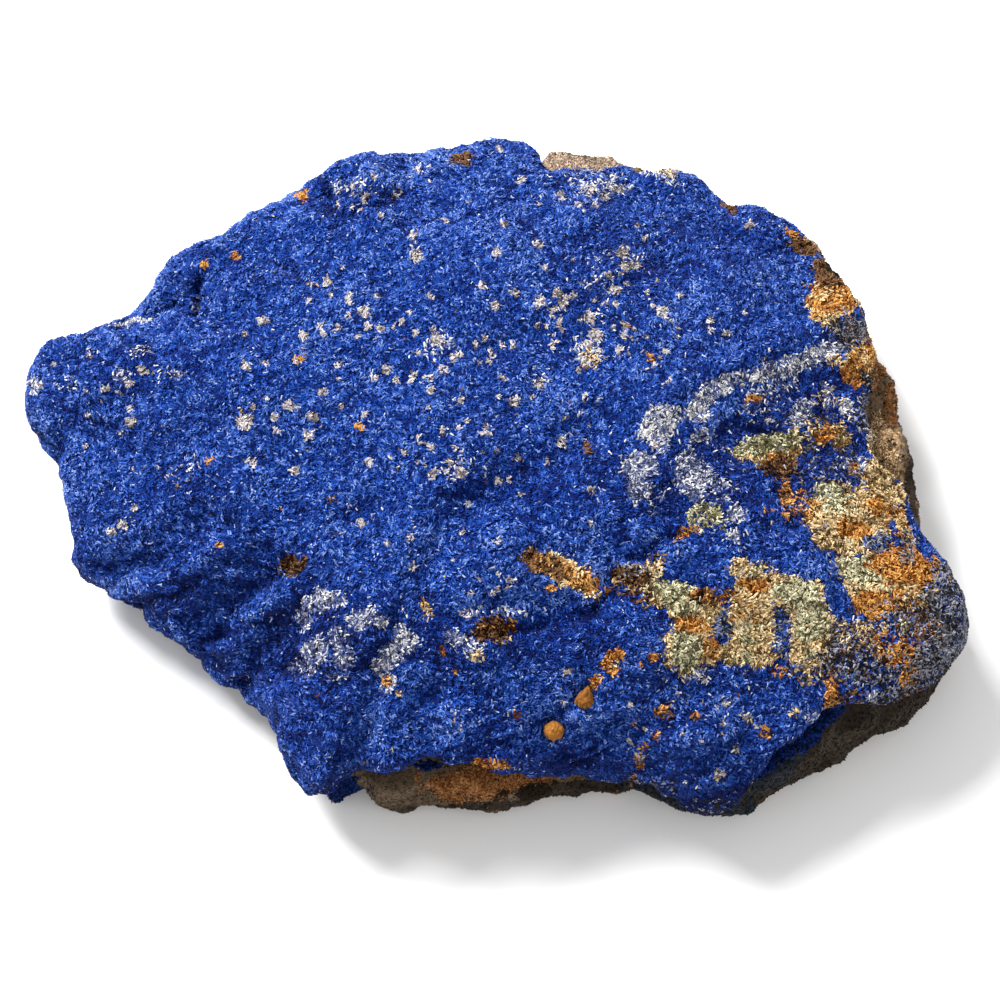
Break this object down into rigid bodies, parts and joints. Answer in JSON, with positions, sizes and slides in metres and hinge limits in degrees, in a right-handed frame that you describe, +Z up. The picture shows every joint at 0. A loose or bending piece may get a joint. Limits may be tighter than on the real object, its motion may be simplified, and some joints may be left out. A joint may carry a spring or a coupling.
{
  "type": "azurite specimen",
  "caption": "Loose mineral specimen: a flat broken slab of brown sandstone whose upper face is coated with a lumpy blue azurite crust, with small ochre limonite nodules.",
  "frame": {"origin": "on the surface that the specimen lies on, under the middle of its bounding box", "axes": "+X along the specimen's long way, +Y away from the viewer, +Z up through the crust"},
  "size_m": [0.0858, 0.0658, 0.0194],
  "materials": {
    "azurite": "velvety microcrystalline crust, with cream, ochre and greenish stains",
    "sandstone": "rough broken sandstone, brown to dark grey",
    "limonite": "dull earthy ochre"
  },
  "bodies": {
    "root": {"azurite_crust": "azurite", "sandstone_matrix": "sandstone", "limonite_nodule_round": "limonite", "limonite_nodule_lump": "limonite"}
  },
  "joints": []
}
